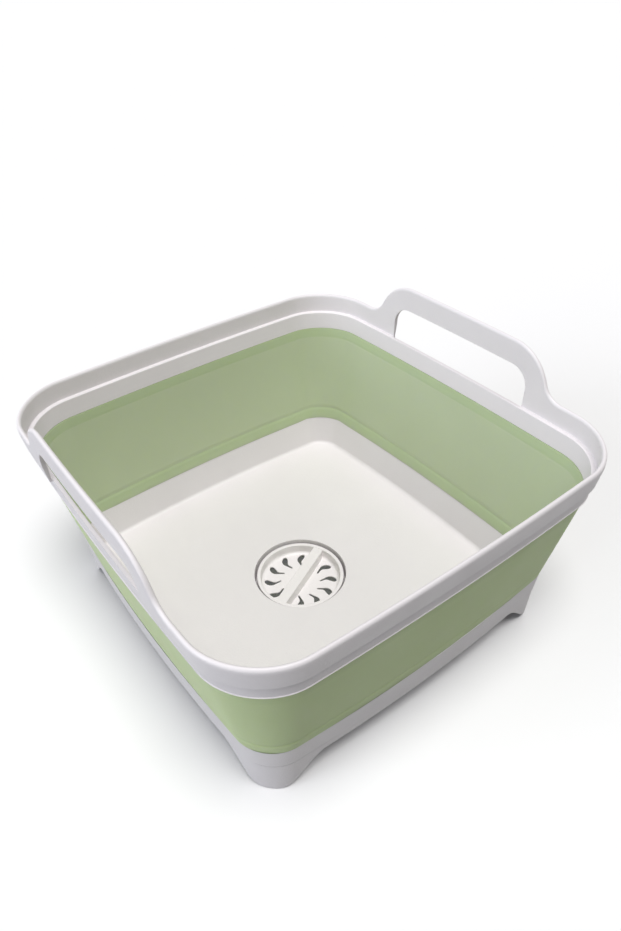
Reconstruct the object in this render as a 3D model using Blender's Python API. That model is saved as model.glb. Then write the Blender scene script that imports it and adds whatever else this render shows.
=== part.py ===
"""A collapsible camp washbasin.

A rigid rim with two handle arches and a rigid base tray are joined by a soft wall that folds,
so the rim comes down round the base. A strainer plug sits in the drain on a rubber stopper.
Metres, +Z up, origin on the table under the middle of the basin, handles on the +X and -X sides.
"""
import math

import bmesh
import bpy

# Outline of the rim: half sizes, corner radius and how far the sides bow out
HALF_WIDTH = 0.145
HALF_LENGTH = 0.150
CORNER_RADIUS = 0.0425
RIM_BOW = 0.0041
BASE_BOW = 0.0062
BOW_POWER = 6
JOINT_GAP = 0.0003
CUT_OVERRUN = 0.004

# Rim frame: heights down from the lip, and insets from the rim's outline
LIP_HEIGHT = 0.1512
LIP_THICKNESS = 0.0032
LIP_ROUNDING = 0.0022
LIP_STRAIGHT = 0.0020
LEDGE_DROP = 0.0150
LEDGE_WIDTH = 0.0028
LEDGE_ROUNDING = 0.0004
LEDGE_THICKNESS = 0.0016
UPPER_BAND_TAPER = 0.0018
LOWER_BAND_THICKNESS = 0.0018
RIM_DEPTH = 0.0290
RIM_EDGE_THICKNESS = 0.0025
RIM_EDGE_INSET = 0.0052

# Handle arches and their finger slots
HANDLE_RISE = 0.0300
HANDLE_LEAN = 0.0010
HANDLE_FLAT = 0.098
HANDLE_SHOULDER_RADIUS = 0.033
HANDLE_ROOT_RADIUS = 0.016
GRIP_DEPTH = 0.0178
SLOT_WIDTH = 0.130
SLOT_CORNER_RADIUS = 0.014

# Soft wall
WALL_TOP_INSET = 0.0058
WALL_TOP_THICKNESS = 0.0021
FOLD_LINE_OFFSET = 0.0105
FOLD_LINE_STAGGER = 0.0024
FOLD_GROOVE_WIDTH = 0.0016
FOLD_GROOVE_DEPTH = 0.0005

# Base tray
COLLAR_HEIGHT = 0.0458
COLLAR_INSET = 0.0208
TRAY_TOP_HEIGHT = 0.0387
TRAY_TOP_INSET = 0.0240
BAND_FOOT_HEIGHT = 0.0289
BAND_FOOT_INSET = 0.0224
BAND_STEP = 0.0004
SKIRT_HEIGHT = 0.0227
SKIRT_THICKNESS = 0.0017
FOOT_INSET = 0.0244
FOOT_THICKNESS = 0.0028
FOOT_FLAT = 0.010
FOOT_FLARE = 0.032
FLOOR_HEIGHT = 0.0137
FLOOR_THICKNESS = 0.0020
FLOOR_INSET = 0.0285
FLOOR_FILLET = 0.0032
TRAY_WALL = 0.0018

# Drain well in the base tray, a little off the tray's middle
DRAIN_X = -0.0034
DRAIN_Y = -0.0010
RECESS_RADIUS = 0.0350
RECESS_ROUNDING = 0.0004
WELL_WALL = 0.0016
WELL_FLOOR_HEIGHT = 0.0013
WELL_FLOOR_THICKNESS = 0.0009
OUTLET_RADIUS = 0.0130

# Strainer plug
RING_DROP = 0.0022
RING_GAP = 0.0017
RING_WIDTH = 0.0029
RING_ROUNDING = 0.0005
PAN_DEPTH = 0.0071
PAN_FILLET = 0.0008
DISH_DEPTH = 0.0011
DISH_RADIUS = 0.0276
PLATE_THICKNESS = 0.0009
BAR_WIDTH = 0.0080
BAR_FOOT_FLARE = 0.0009
BAR_ANGLE = math.radians(25.3)
BAR_SINK = 0.0005
PIN_RADIUS = 0.0030
PIN_LENGTH = 0.0018
SLOTS_PER_SIDE = 5
SLOT_STEP = math.radians(31.4)
SLOT_OUTER_RADIUS = 0.0275
SLOT_INNER_RADIUS = 0.0149
SLOT_HALF_WIDTH = 0.0023
SLOT_TURN = math.radians(-5.5)
SLOT_BULGE = math.radians(8)
SLOT_WIDTH_SHARES = (0.35, 0.93, 1.0, 0.95, 0.70, 0.47, 0.37, 0.33, 0.2)

# Rubber stopper
STOPPER_FLANGE_RADIUS = 0.0285
STOPPER_BODY_CLEARANCE = 0.0003
STOPPER_BORE_CLEARANCE = 0.0003
STOPPER_TIP_CHAMFER = 0.0004
STOPPER_TIP_HEIGHT = 0.0004

# Fineness of the meshes
CORNER_STEPS = 12
LIP_STEPS = 5
SHOULDER_STEPS = 7
ROOT_STEPS = 5
FLARE_STEPS = 6
SIDE_STEPS = 6
ROUND_STEPS = 64
SLOT_ARC_STEPS = 6
BAR_STEPS = 12
FILLET_STEPS = 4


def clear_scene():
    for old in list(bpy.data.objects):
        bpy.data.objects.remove(old)


def plastic(name, colour, roughness):
    material = bpy.data.materials.new(name)
    material.use_nodes = True
    shader = material.node_tree.nodes["Principled BSDF"]
    shader.inputs["Base Color"].default_value = (*colour, 1.0)
    shader.inputs["Roughness"].default_value = roughness
    shader.inputs["Metallic"].default_value = 0.0
    return material


def add_object(name, mesh_builder, material):
    """Close a bmesh into a named object with outward faces and smooth rounded stretches."""
    bmesh.ops.recalc_face_normals(mesh_builder, faces=mesh_builder.faces)
    mesh = bpy.data.meshes.new(name)
    mesh_builder.to_mesh(mesh)
    mesh_builder.free()
    mesh.shade_smooth()
    mesh.set_sharp_from_angle(angle=math.radians(30))
    piece = bpy.data.objects.new(name, mesh)
    bpy.context.scene.collection.objects.link(piece)
    if material:
        mesh.materials.append(material)
    return piece


def side_columns(stations, sign, along_y):
    """Outline columns on one straight side: the corner-arc centre and the outward direction."""
    columns = []
    for station in stations:
        if along_y:
            columns.append((sign * (HALF_WIDTH - CORNER_RADIUS), sign * station, sign, 0.0))
        else:
            columns.append((-sign * station, sign * (HALF_LENGTH - CORNER_RADIUS), 0.0, sign))
    return columns


def corner_columns(quadrant):
    """Outline columns round one corner, counter-clockwise, without the ends of the arc."""
    sign_x = (1, -1, -1, 1)[quadrant]
    sign_y = (1, 1, -1, -1)[quadrant]
    centre_x = sign_x * (HALF_WIDTH - CORNER_RADIUS)
    centre_y = sign_y * (HALF_LENGTH - CORNER_RADIUS)
    columns = []
    for step in range(1, CORNER_STEPS):
        angle = (quadrant + step / CORNER_STEPS) * math.pi / 2
        columns.append((centre_x, centre_y, math.cos(angle), math.sin(angle)))
    return columns


def outline_columns(stations_y, stations_x):
    """All outline columns, counter-clockwise from the +X side."""
    columns = side_columns(stations_y, 1, True) + corner_columns(0)
    columns += side_columns(stations_x, 1, False) + corner_columns(1)
    columns += side_columns(stations_y, -1, True) + corner_columns(2)
    columns += side_columns(stations_x, -1, False) + corner_columns(3)
    return columns


def outline_point(column, inset, bow):
    """One point of the outline drawn in by inset, with its sides bowed out."""
    centre_x, centre_y, out_x, out_y = column
    reach = CORNER_RADIUS - inset
    x = centre_x + out_x * reach
    y = centre_y + out_y * reach
    share_x = x / (HALF_WIDTH - inset)
    share_y = y / (HALF_LENGTH - inset)
    bow_x = bow * abs(share_x) ** BOW_POWER * max(1 - share_y ** 2, 0)
    bow_y = bow * abs(share_y) ** BOW_POWER * max(1 - share_x ** 2, 0)
    return x + math.copysign(bow_x, x), y + math.copysign(bow_y, y)


def bow_at(height):
    """The sides bow out a little more at the tray than at the rim."""
    share = (height - TRAY_TOP_HEIGHT) / (LIP_HEIGHT - RIM_DEPTH - TRAY_TOP_HEIGHT)
    share = min(max(share, 0), 1)
    return BASE_BOW + (RIM_BOW - BASE_BOW) * share


def even_stations(half_length, steps):
    return [half_length * (2 * step / steps - 1) for step in range(steps + 1)]


def mirrored(stations):
    """Stations from 0 outwards, repeated on the other side of 0."""
    return [-station for station in reversed(stations) if station > 0] + stations


def arc(centre, radius, start, end, steps):
    """Points of an arc in a plane, from angle start to angle end."""
    points = []
    for step in range(steps + 1):
        angle = start + (end - start) * step / steps
        points.append((centre[0] + radius * math.cos(angle), centre[1] + radius * math.sin(angle)))
    return points


def loft(rings):
    """Join rings of equal length into one closed tube, the last ring to the first."""
    builder = bmesh.new()
    rows = [[builder.verts.new(point) for point in ring] for ring in rings]
    for row, following in zip(rows, rows[1:] + rows[:1]):
        for index in range(len(row)):
            after = (index + 1) % len(row)
            builder.faces.new((row[index], row[after], following[after], following[index]))
    return builder


def drain_point(radius, angle, height):
    return DRAIN_X + radius * math.cos(angle), DRAIN_Y + radius * math.sin(angle), height


def turned(profile, steps=ROUND_STEPS):
    """Turn a profile of (radius, height) about the drain's axis; ends on it are closed with fans."""
    builder = bmesh.new()
    rows = []
    for radius, height in profile:
        if radius == 0:
            rows.append([builder.verts.new((DRAIN_X, DRAIN_Y, height))])
            continue
        angles = [2 * math.pi * step / steps for step in range(steps)]
        rows.append([builder.verts.new(drain_point(radius, angle, height)) for angle in angles])
    open_ended = profile[0][0] == 0
    pairs = zip(rows, rows[1:]) if open_ended else zip(rows, rows[1:] + rows[:1])
    for row, following in pairs:
        for index in range(steps):
            after = (index + 1) % steps
            if len(row) == 1:
                builder.faces.new((row[0], following[after], following[index]))
            elif len(following) == 1:
                builder.faces.new((row[index], row[after], following[0]))
            else:
                builder.faces.new((row[index], row[after], following[after], following[index]))
    return builder


def cut_away(piece, cutter, name):
    """Subtract a cutter, which stays as a hidden wire guide."""
    cutter.hide_render = True
    cutter.display_type = "WIRE"
    modifier = piece.modifiers.new(name, "BOOLEAN")
    modifier.operation = "DIFFERENCE"
    modifier.object = cutter


def join_on(piece, other, name):
    """Unite another solid with a piece, and keep the other only as a wire guide."""
    other.hide_render = True
    other.display_type = "WIRE"
    modifier = piece.modifiers.new(name, "BOOLEAN")
    modifier.operation = "UNION"
    modifier.object = other


def handle_stations():
    """Positions along a handle side: the grip, the two arcs of the arch, and the corner."""
    half_flat = HANDLE_FLAT / 2
    shoulder, root = handle_arcs()
    points = [point[0] for point in shoulder + root[1:]]
    straight = HALF_LENGTH - CORNER_RADIUS
    stations = [0.0, half_flat / 3, half_flat * 2 / 3]
    stations += points
    stations.append((points[-1] + straight) / 2)
    stations.append(straight)
    return mirrored(stations)


def handle_arcs():
    """The arch's height over the lip, from its grip down: a convex shoulder, then a concave root."""
    shoulder_centre = (HANDLE_FLAT / 2, HANDLE_RISE - HANDLE_SHOULDER_RADIUS)
    between = HANDLE_SHOULDER_RADIUS + HANDLE_ROOT_RADIUS
    climb = HANDLE_ROOT_RADIUS - shoulder_centre[1]
    slope = math.asin(climb / between)
    root_centre = (shoulder_centre[0] + between * math.cos(slope), HANDLE_ROOT_RADIUS)
    shoulder = arc(shoulder_centre, HANDLE_SHOULDER_RADIUS, math.pi / 2, slope, SHOULDER_STEPS)
    root = arc(root_centre, HANDLE_ROOT_RADIUS, math.pi + slope, math.pi * 1.5, ROOT_STEPS)
    return shoulder, root


def arch_rise(along):
    """How far the top edge stands above the lip, at a distance from the handle's middle."""
    shoulder, root = handle_arcs()
    points = [(0.0, HANDLE_RISE)] + shoulder + root[1:]
    along = abs(along)
    for (near, high), (far, low) in zip(points, points[1:]):
        if along <= far:
            return high + (low - high) * (along - near) / (far - near)
    return 0.0


def rim_profile():
    """The rim's section as (inset, height, rises with the arch)."""
    crown_height = LIP_HEIGHT - LIP_ROUNDING
    shoulder_height = crown_height - LIP_STRAIGHT
    lip_middle = LIP_THICKNESS / 2
    ledge_inset = LIP_THICKNESS + LEDGE_WIDTH
    ledge_height = LIP_HEIGHT - LEDGE_DROP
    ledge_under = ledge_height - LEDGE_THICKNESS
    edge_height = LIP_HEIGHT - RIM_DEPTH
    profile = [(RIM_EDGE_INSET, edge_height, False)]
    profile.append((ledge_inset - LOWER_BAND_THICKNESS + LEDGE_ROUNDING, ledge_under, False))
    profile.append((UPPER_BAND_TAPER, ledge_under, False))
    profile.append((0.0, shoulder_height, False))
    for step in range(LIP_STEPS + 1):
        angle = math.pi * step / LIP_STEPS
        inset = lip_middle - lip_middle * math.cos(angle)
        profile.append((inset, crown_height + LIP_ROUNDING * math.sin(angle), True))
    profile.append((LIP_THICKNESS, shoulder_height, False))
    profile.append((LIP_THICKNESS, ledge_height, False))
    profile.append((ledge_inset, ledge_height, False))
    profile.append((ledge_inset + LEDGE_ROUNDING, ledge_height - LEDGE_ROUNDING, False))
    profile.append((RIM_EDGE_INSET + RIM_EDGE_THICKNESS, edge_height, False))
    return profile


def slot_cutter(sign):
    """The finger slot's space, bowed like the side it cuts, down past the ledge's outer part."""
    half_width = SLOT_WIDTH / 2
    top = LIP_HEIGHT + HANDLE_RISE - GRIP_DEPTH
    bottom = LIP_HEIGHT - LEDGE_DROP - LEDGE_THICKNESS - JOINT_GAP
    corner = (half_width - SLOT_CORNER_RADIUS, top - SLOT_CORNER_RADIUS)
    edge = arc(corner, SLOT_CORNER_RADIUS, 0, math.pi / 2, SLOT_ARC_STEPS)
    edge += [(half_width / 2, top), (half_width / 4, top), (0.0, top)]
    edge += [(-along, height) for along, height in reversed(edge[:-1])]
    inner_inset = LIP_THICKNESS + LEDGE_WIDTH - LOWER_BAND_THICKNESS - JOINT_GAP
    builder = bmesh.new()
    rows = []
    for along, height in edge:
        bow = RIM_BOW * (1 - (along / HALF_LENGTH) ** 2)
        inner = sign * (HALF_WIDTH - inner_inset + bow)
        outer = sign * (HALF_WIDTH + CUT_OVERRUN + bow)
        ring = [(inner, along, bottom), (outer, along, bottom), (outer, along, height), (inner, along, height)]
        rows.append([builder.verts.new(point) for point in ring])
    for row, following in zip(rows, rows[1:]):
        for index in range(4):
            after = (index + 1) % 4
            builder.faces.new((row[index], row[after], following[after], following[index]))
    builder.faces.new(rows[0])
    builder.faces.new(rows[-1])
    return add_object("slot_space", builder, None)


def make_rim_frame(material):
    straight_x = HALF_WIDTH - CORNER_RADIUS
    columns = outline_columns(handle_stations(), even_stations(straight_x, SIDE_STEPS))
    rings = []
    for inset, height, rises in rim_profile():
        ring = []
        for column in columns:
            on_handle_side = column[3] == 0.0
            rise = arch_rise(column[1]) if rises and on_handle_side else 0.0
            lean = HANDLE_LEAN * rise / HANDLE_RISE
            x, y = outline_point(column, inset - lean, RIM_BOW)
            ring.append((x, y, height + rise))
        rings.append(ring)
    rim = add_object("rim_frame", loft(rings), material)
    cut_away(rim, slot_cutter(1), "right_slot")
    cut_away(rim, slot_cutter(-1), "left_slot")
    return rim


def scarf_gap():
    """Sideways and upward parts of the gap along the sloping joint of wall and tray."""
    run = TRAY_TOP_INSET - COLLAR_INSET
    fall = COLLAR_HEIGHT - TRAY_TOP_HEIGHT
    length = math.hypot(run, fall)
    return JOINT_GAP * fall / length, JOINT_GAP * run / length


def groove(line, along_share, depth_sign):
    """Three points of a shallow fold groove at a share of the way down a straight face."""
    (top_inset, top_height), (foot_inset, foot_height) = line
    fall = top_height - foot_height
    points = []
    for offset, depth in ((-1, 0), (0, 1), (1, 0)):
        share = along_share + offset * FOLD_GROOVE_WIDTH / 2 / fall
        inset = top_inset + (foot_inset - top_inset) * share
        points.append((inset + depth_sign * depth * FOLD_GROOVE_DEPTH, top_height - fall * share))
    return points


def make_bellows_wall(material):
    gap_out, gap_up = scarf_gap()
    top = LIP_HEIGHT - RIM_DEPTH - JOINT_GAP
    outer_top = (WALL_TOP_INSET, top)
    inner_top = (WALL_TOP_INSET + WALL_TOP_THICKNESS, top)
    outer_foot = (COLLAR_INSET + gap_out, COLLAR_HEIGHT + gap_up)
    inner_foot = (TRAY_TOP_INSET + gap_out, TRAY_TOP_HEIGHT + gap_up)
    outer_fall = outer_top[1] - outer_foot[1]
    inner_fall = inner_top[1] - inner_foot[1]
    outer = [outer_top]
    outer += groove((outer_top, outer_foot), (FOLD_LINE_OFFSET + FOLD_LINE_STAGGER) / outer_fall, 1)
    outer += groove((outer_top, outer_foot), 1 - (FOLD_LINE_OFFSET - FOLD_LINE_STAGGER) / outer_fall, 1)
    outer.append(outer_foot)
    inner = [inner_top]
    inner += groove((inner_top, inner_foot), FOLD_LINE_OFFSET / inner_fall, -1)
    inner += groove((inner_top, inner_foot), 1 - FOLD_LINE_OFFSET / inner_fall, -1)
    inner.append(inner_foot)
    profile = outer + list(reversed(inner))
    straight_y = HALF_LENGTH - CORNER_RADIUS
    straight_x = HALF_WIDTH - CORNER_RADIUS
    columns = outline_columns(even_stations(straight_y, SIDE_STEPS), even_stations(straight_x, SIDE_STEPS))
    rings = []
    for inset, height in profile:
        bow = bow_at(height)
        rings.append([(*outline_point(column, inset, bow), height) for column in columns])
    return add_object("bellows_wall", loft(rings), material)


def flare_stations(straight):
    """Side positions, close together where a foot flares into the skirt."""
    arc_half = (CORNER_RADIUS - FOOT_INSET) * math.pi / 4
    flare_end = FOOT_FLAT / 2 + FOOT_FLARE - arc_half
    stations = [0.0, (straight - flare_end) / 2]
    stations += [straight - flare_end * (1 - step / FLARE_STEPS) for step in range(FLARE_STEPS + 1)]
    return mirrored(stations)


def skirt_foot(column):
    """Height of the skirt's lower edge: on the table at a foot, higher along the sides."""
    centre_x, centre_y, out_x, out_y = column
    radius = CORNER_RADIUS - FOOT_INSET
    if out_x != 0 and out_y != 0:
        angle = math.atan2(abs(out_y), abs(out_x))
        along = abs(angle - math.pi / 4) * radius
    elif out_y == 0:
        along = radius * math.pi / 4 + (HALF_LENGTH - CORNER_RADIUS) - abs(centre_y)
    else:
        along = radius * math.pi / 4 + (HALF_WIDTH - CORNER_RADIUS) - abs(centre_x)
    share = min(max((along - FOOT_FLAT / 2) / FOOT_FLARE, 0), 1)
    return SKIRT_HEIGHT * share * share * (3 - 2 * share)


def skirt_ring(columns, inner):
    """The skirt's lower edge, on its outer or its inner face."""
    top_inset = BAND_FOOT_INSET + BAND_STEP
    top_height = BAND_FOOT_HEIGHT - BAND_STEP
    ring = []
    for column in columns:
        height = skirt_foot(column)
        share = (top_height - height) / top_height
        inset = top_inset + (FOOT_INSET - top_inset) * share
        thickness = FOOT_THICKNESS + (SKIRT_THICKNESS - FOOT_THICKNESS) * height / SKIRT_HEIGHT
        if inner:
            inset += thickness
        ring.append((*outline_point(column, inset, BASE_BOW), height))
    return ring


def round_ring(columns, radius, height):
    """A circle about the drain's axis whose points face the outline's columns."""
    ring = []
    for column in columns:
        x, y = outline_point(column, FLOOR_INSET, BASE_BOW)
        ring.append(drain_point(radius, math.atan2(y - DRAIN_Y, x - DRAIN_X), height))
    return ring


def level_ring(columns, inset, height):
    return [(*outline_point(column, inset, BASE_BOW), height) for column in columns]


def make_base_tray(material):
    straight_y = HALF_LENGTH - CORNER_RADIUS
    straight_x = HALF_WIDTH - CORNER_RADIUS
    columns = outline_columns(flare_stations(straight_y), flare_stations(straight_x))
    floor_under = FLOOR_HEIGHT - FLOOR_THICKNESS
    well_under = WELL_FLOOR_HEIGHT - WELL_FLOOR_THICKNESS
    well_radius = RECESS_RADIUS + WELL_WALL
    rings = [level_ring(columns, COLLAR_INSET, COLLAR_HEIGHT)]
    rings.append(level_ring(columns, BAND_FOOT_INSET, BAND_FOOT_HEIGHT))
    rings.append(level_ring(columns, BAND_FOOT_INSET + BAND_STEP, BAND_FOOT_HEIGHT - BAND_STEP))
    rings.append(skirt_ring(columns, False))
    rings.append(skirt_ring(columns, True))
    rings.append(level_ring(columns, FLOOR_INSET - TRAY_WALL + FLOOR_FILLET / 2, floor_under))
    rings.append(round_ring(columns, well_radius, floor_under))
    rings.append(round_ring(columns, well_radius, well_under))
    rings.append(round_ring(columns, OUTLET_RADIUS, well_under))
    rings.append(round_ring(columns, OUTLET_RADIUS, WELL_FLOOR_HEIGHT))
    rings.append(round_ring(columns, RECESS_RADIUS, WELL_FLOOR_HEIGHT))
    rings.append(round_ring(columns, RECESS_RADIUS, FLOOR_HEIGHT - RECESS_ROUNDING))
    rings.append(round_ring(columns, RECESS_RADIUS + RECESS_ROUNDING, FLOOR_HEIGHT))
    for step in range(FILLET_STEPS + 1):
        angle = math.pi / 2 * step / FILLET_STEPS
        inset = FLOOR_INSET + FLOOR_FILLET * (1 - math.sin(angle))
        rings.append(level_ring(columns, inset, FLOOR_HEIGHT + FLOOR_FILLET * (1 - math.cos(angle))))
    rings.append(level_ring(columns, TRAY_TOP_INSET, TRAY_TOP_HEIGHT))
    return add_object("base_tray", loft(rings), material)


def plug_heights():
    """Heights of the ring's top, the plate's outer edge, its dished middle and its underside."""
    ring_top = FLOOR_HEIGHT - RING_DROP
    plate_edge = ring_top - PAN_DEPTH
    plate_middle = plate_edge - DISH_DEPTH
    return ring_top, plate_edge, plate_middle, plate_middle - PLATE_THICKNESS


def ring_radii():
    outer = RECESS_RADIUS - RING_GAP
    return outer, outer - RING_WIDTH


def slot_outline(middle_angle):
    """One flame-shaped slot: fat near its outer end, with a thin curved tail."""
    last = len(SLOT_WIDTH_SHARES) - 1
    left = []
    right = []
    for index, width_share in enumerate(SLOT_WIDTH_SHARES):
        share = index / last
        radius = SLOT_OUTER_RADIUS + (SLOT_INNER_RADIUS - SLOT_OUTER_RADIUS) * share
        angle = middle_angle + SLOT_TURN + SLOT_BULGE * math.sin(math.pi * share)
        half_turn = SLOT_HALF_WIDTH * width_share / radius
        left.append((radius, angle + half_turn))
        right.append((radius, angle - half_turn))
    return left + list(reversed(right))


def strainer_slot_cutters():
    _, plate_edge, _, plate_under = plug_heights()
    builder = bmesh.new()
    places = [(side, index) for side in (1, -1) for index in range(SLOTS_PER_SIDE)]
    for side, index in places:
        from_middle = (index - (SLOTS_PER_SIDE - 1) / 2) * SLOT_STEP
        middle_angle = BAR_ANGLE + side * math.pi / 2 + from_middle
        outline = slot_outline(middle_angle)
        low = [builder.verts.new(drain_point(*point, plate_under - PLATE_THICKNESS)) for point in outline]
        high = [builder.verts.new(drain_point(*point, plate_edge + PLATE_THICKNESS)) for point in outline]
        builder.faces.new(low)
        builder.faces.new(high)
        for start in range(len(outline)):
            after = (start + 1) % len(outline)
            builder.faces.new((low[start], low[after], high[after], high[start]))
    return add_object("slot_spaces", builder, None)


def strainer_bar():
    """The bar across the pan: a flat straight top, and a foot that swells between the ring's sides."""
    ring_top, _, plate_middle, _ = plug_heights()
    outer, inner = ring_radii()
    half_length = (outer + inner) / 2
    stations = [2 * step / BAR_STEPS - 1 for step in range(BAR_STEPS + 1)]
    foot = [(share * half_length, BAR_WIDTH / 2 + BAR_FOOT_FLARE * (1 - share ** 4)) for share in stations]
    top = [(share * half_length, BAR_WIDTH / 2) for share in stations]
    builder = bmesh.new()
    loops = []
    for outline, height in ((foot, plate_middle - BAR_SINK), (top, ring_top - BAR_SINK)):
        around = outline + [(along, -across) for along, across in reversed(outline)]
        loops.append([builder.verts.new((along, across, height)) for along, across in around])
    low, high = loops
    builder.faces.new(low)
    builder.faces.new(high)
    for start in range(len(low)):
        after = (start + 1) % len(low)
        builder.faces.new((low[start], low[after], high[after], high[start]))
    bar = add_object("bar_blank", builder, None)
    bar.rotation_euler = (0, 0, BAR_ANGLE)
    bar.location = (DRAIN_X, DRAIN_Y, 0)
    return bar


def make_strainer_plug(material):
    ring_top, plate_edge, plate_middle, plate_under = plug_heights()
    outer, inner = ring_radii()
    profile = [(0, plate_middle), (DISH_RADIUS, plate_middle), (inner - PAN_FILLET, plate_edge)]
    profile.append((inner - PAN_FILLET / 3, plate_edge + PAN_FILLET))
    profile.append((inner, ring_top - RING_ROUNDING))
    profile.append((inner + RING_ROUNDING, ring_top))
    profile.append((outer - RING_ROUNDING, ring_top))
    profile.append((outer, ring_top - RING_ROUNDING))
    profile.append((outer, plate_under + RING_ROUNDING))
    profile.append((outer - RING_ROUNDING, plate_under))
    profile.append((PIN_RADIUS, plate_under))
    profile.append((PIN_RADIUS, plate_under - PIN_LENGTH))
    profile.append((0, plate_under - PIN_LENGTH))
    plug = add_object("strainer_plug", turned(profile), material)
    cut_away(plug, strainer_slot_cutters(), "slots")
    join_on(plug, strainer_bar(), "bar")
    return plug


def make_rubber_stopper(material):
    plate_under = plug_heights()[3]
    flange_top = plate_under - JOINT_GAP
    flange_under = WELL_FLOOR_HEIGHT + JOINT_GAP
    body_radius = OUTLET_RADIUS - STOPPER_BODY_CLEARANCE
    bore_radius = PIN_RADIUS + STOPPER_BORE_CLEARANCE
    profile = [(bore_radius, flange_top), (STOPPER_FLANGE_RADIUS - STOPPER_TIP_CHAMFER, flange_top)]
    profile.append((STOPPER_FLANGE_RADIUS, flange_top - STOPPER_TIP_CHAMFER))
    profile.append((STOPPER_FLANGE_RADIUS, flange_under))
    profile.append((body_radius, flange_under))
    profile.append((body_radius, STOPPER_TIP_HEIGHT + STOPPER_TIP_CHAMFER))
    profile.append((body_radius - STOPPER_TIP_CHAMFER, STOPPER_TIP_HEIGHT))
    profile.append((bore_radius, STOPPER_TIP_HEIGHT))
    return add_object("rubber_stopper", turned(profile), material)


def build():
    clear_scene()
    make_rim_frame(plastic("rim_plastic", (0.78, 0.77, 0.77), 0.45))
    make_bellows_wall(plastic("wall_rubber", (0.36, 0.43, 0.24), 0.55))
    make_base_tray(plastic("base_plastic", (0.79, 0.78, 0.76), 0.45))
    make_strainer_plug(plastic("strainer_plastic", (0.80, 0.79, 0.77), 0.40))
    make_rubber_stopper(plastic("stopper_rubber", (0.24, 0.25, 0.24), 0.70))


build()
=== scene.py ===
"""The looks of the collapsible camp washbasin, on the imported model's frame.

Every piece is modelled in place, in metres, with the object at the origin: the rim with its two
handles, the soft folding wall, the footed tray with its drain well, the strainer plug and the
rubber stopper under it. An inset is measured inwards from the rim's outer face, a height from
the table.
"""
import math

import bpy
from mathutils import Matrix, Vector


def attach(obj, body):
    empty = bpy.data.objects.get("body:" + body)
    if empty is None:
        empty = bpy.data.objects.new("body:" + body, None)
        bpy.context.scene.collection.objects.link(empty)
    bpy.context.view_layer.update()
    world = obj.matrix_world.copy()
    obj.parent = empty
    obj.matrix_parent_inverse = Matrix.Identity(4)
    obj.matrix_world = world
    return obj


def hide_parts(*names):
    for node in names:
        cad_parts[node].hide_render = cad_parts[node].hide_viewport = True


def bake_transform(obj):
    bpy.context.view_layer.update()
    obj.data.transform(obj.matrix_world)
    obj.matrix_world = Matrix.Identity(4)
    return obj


# The basin's outline: half sizes over the rim, and how far the sides bow out
HALF_WIDTH = 0.145
HALF_LENGTH = 0.150
CORNER_RADIUS = 0.0425
RIM_BOW = 0.0041
TRAY_BOW = 0.0062
BOW_POWER = 6
CORNER_STEPS = 20
SIDE_CUTS = 95
CURVE_STEPS = 4

# What counts as the same place, near a height, a long edge, a cap face and a sharp edge
MERGE_GAP = 0.00001
NEAR = 0.00005
LONG_EDGE = 0.05
CAP_CORNERS = 8
SHARP_COSINE = 0.5

# Rim and handles
LIP_TOP = 0.1512
LIP_WALL = 0.0032
LIP_ROUND = 0.0022
LIP_CROWN = LIP_TOP - LIP_ROUND
LIP_SHOULDER = LIP_CROWN - 0.0020
LIP_STEPS = 12
RIM_FOOT = 0.1222
RIM_FOOT_INNER = (0.0077, RIM_FOOT + 0.0004)
BEAD_HEIGHT = 0.0010
BEAD_PROUD = 0.0006
LEDGE_TOP = 0.1362
LEDGE_UNDER = 0.1346
HANDLE_RISE = 0.0300
HANDLE_LEAN = 0.0010
HANDLE_FLAT = 0.049
SHOULDER_RADIUS = 0.033
ROOT_RADIUS = 0.016
SLOT_HALF_WIDTH = 0.065
SLOT_TOP = 0.1634
SLOT_CORNER = 0.014
SLOT_CORNER_STEPS = 12
SLOT_RIM = 0.1374
SLOT_ROUND = 0.00045
SLOT_MERGE_GAP = 0.00025
SLOT_REACH = 0.0004
SLOT_WALL = 0.0042
SLOT_BLOCK_INNER = 0.0039
SLOT_BLOCK_DEPTH = 0.012
SLOT_BLOCK_CUTS = 11

# The rim below its lip, as (inset, height) or (inset, height, rounding)
RIM_OUTSIDE = (
    (0, LIP_CROWN),
    (0, LIP_SHOULDER),
    (0.0014, SLOT_RIM),
    (0.0018, LEDGE_UNDER, 0.0004),
    (0.0042, LEDGE_UNDER, 0.0002),
    (0.0050, RIM_FOOT + 0.0014),
    (0.0051, RIM_FOOT + BEAD_HEIGHT),
    (0.0052, RIM_FOOT, 0.0003),
    (0.0074, RIM_FOOT),
    RIM_FOOT_INNER,
)
RIM_INSIDE = (
    (LIP_WALL, LIP_SHOULDER - 0.0010),
    (LIP_WALL, SLOT_RIM),
    (LIP_WALL, LEDGE_TOP, 0.0004),
    (0.0064, LEDGE_TOP, 0.0007),
    RIM_FOOT_INNER,
)

# Soft wall, with its feet as (inset, height) and its fold lines' distance from its ends
WALL_TOP = 0.1221
WALL_TOP_INSET = 0.0058
WALL_TOP_THICKNESS = 0.0021
WALL_OUTER_FOOT = (0.0211, 0.0460)
WALL_INNER_FOOT = (0.0243, 0.0389)
UPPER_FOLD = 0.0074
LOWER_FOLD = 0.0103
UPPER_FOLD_DEPTH = 0.00014
LOWER_FOLD_DEPTH = 0.00036
FOLD_HALF_WIDTH = 0.0008
FOLD_CLEARANCE = 1.8 * FOLD_HALF_WIDTH
WALL_OUTER_STEPS = 34
WALL_INNER_STEPS = 36

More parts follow.
